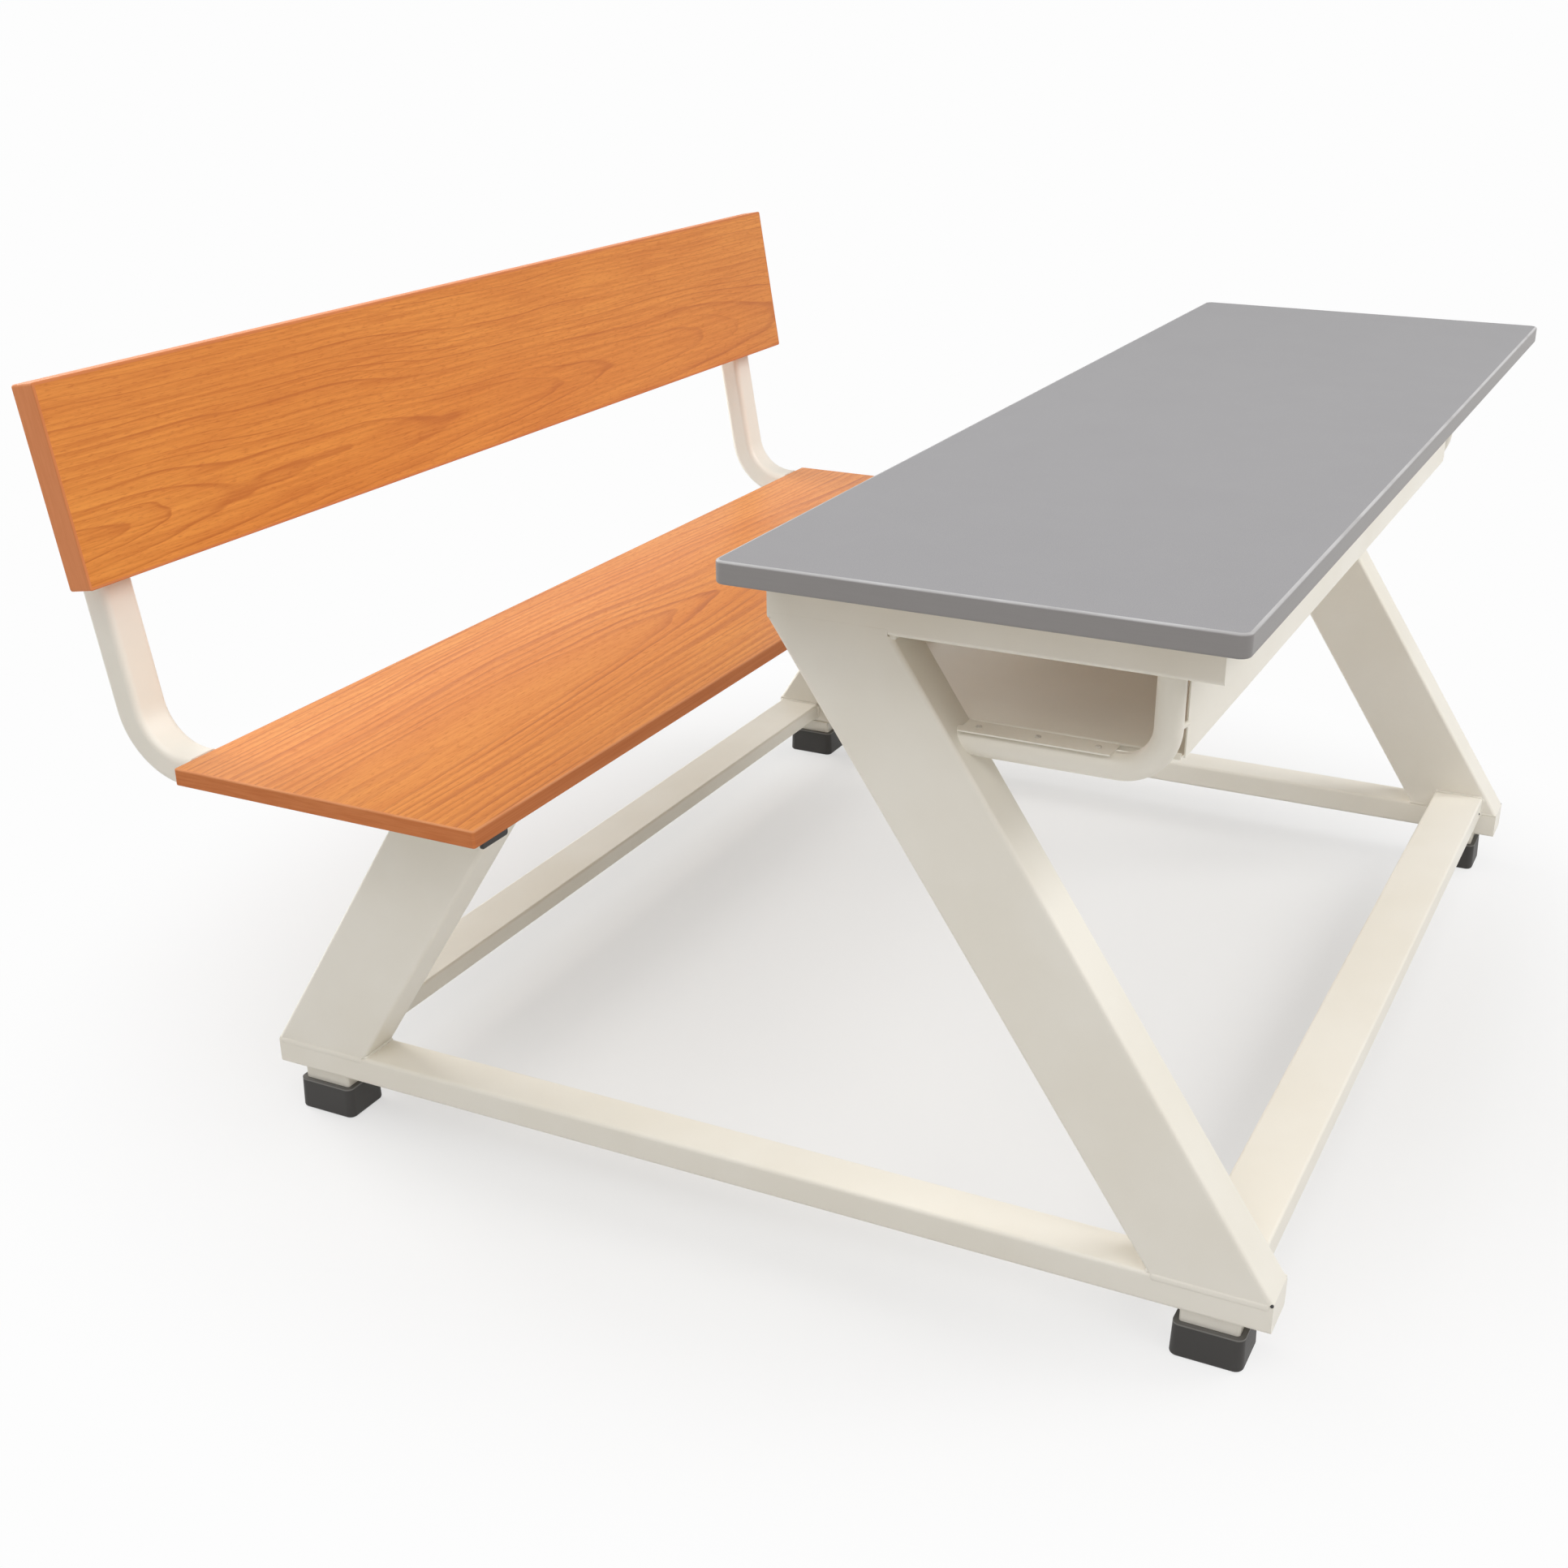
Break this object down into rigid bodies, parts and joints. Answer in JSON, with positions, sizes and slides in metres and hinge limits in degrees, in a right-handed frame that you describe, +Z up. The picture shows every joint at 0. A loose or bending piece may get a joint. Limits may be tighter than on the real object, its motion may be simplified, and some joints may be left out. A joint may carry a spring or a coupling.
{
  "type": "school desk with attached bench",
  "caption": "School desk with a flat slab top, an open book tray and slanted tubular side frames that also carry a bench seat with a leaning backrest.",
  "frame": {"origin": "on the floor, in the middle of the object's bounding box", "axes": "+X along the length towards the pupils' left, +Y from the desk towards the bench, +Z up"},
  "size_m": [1.32, 1.1523, 0.7274],
  "materials": {
    "ivory_paint": "satin powder coat",
    "grey_laminate": "satin laminate on board",
    "grey_edge": "satin",
    "wood_laminate": "satin laminate on board",
    "brown_edge": "satin",
    "black_plastic": "matt",
    "shoe_rubber": "matt",
    "zinc_steel": "zinc plated"
  },
  "bodies": {
    "root": {"back_post_left": "ivory_paint", "back_post_right": "ivory_paint", "backrest_board": "wood_laminate", "backrest_edge_band": "brown_edge", "backrest_screws": "zinc_steel", "backrest_spacers": "black_plastic", "bearer_plug_left": "black_plastic", "bearer_plug_right": "black_plastic", "bottom_rail_left": "ivory_paint", "bottom_rail_right": "ivory_paint", "desk_foot_stub_left": "ivory_paint", "desk_foot_stub_right": "ivory_paint", "desk_leg_left": "ivory_paint", "desk_leg_right": "ivory_paint", "desk_shoe_left": "shoe_rubber", "desk_shoe_right": "shoe_rubber", "desktop_board": "grey_laminate", "desktop_edge_band": "grey_edge", "desktop_screws": "zinc_steel", "front_crossbar": "ivory_paint", "heel_cap_left": "ivory_paint", "heel_cap_right": "ivory_paint", "post_end_plate_left": "ivory_paint", "post_end_plate_right": "ivory_paint", "post_plug_left": "black_plastic", "post_plug_right": "black_plastic", "rear_crossbar": "ivory_paint", "seat_bearer_left": "ivory_paint", "seat_bearer_right": "ivory_paint", "seat_board": "wood_laminate", "seat_edge_band": "brown_edge", "seat_foot_stub_left": "ivory_paint", "seat_foot_stub_right": "ivory_paint", "seat_leg_left": "ivory_paint", "seat_leg_plate_left": "ivory_paint", "seat_leg_plate_right": "ivory_paint", "seat_leg_right": "ivory_paint", "seat_screws": "zinc_steel", "seat_shoe_left": "shoe_rubber", "seat_shoe_right": "shoe_rubber", "toe_cap_left": "ivory_paint", "toe_cap_right": "ivory_paint", "top_rail_front_cap_left": "ivory_paint", "top_rail_front_cap_right": "ivory_paint", "top_rail_left": "ivory_paint", "top_rail_rear_cap_left": "ivory_paint", "top_rail_rear_cap_right": "ivory_paint", "top_rail_right": "ivory_paint", "tray_bottom": "ivory_paint", "tray_front_panel": "ivory_paint", "tray_loop_left": "ivory_paint", "tray_loop_right": "ivory_paint", "tray_screws": "zinc_steel"}
  },
  "joints": []
}
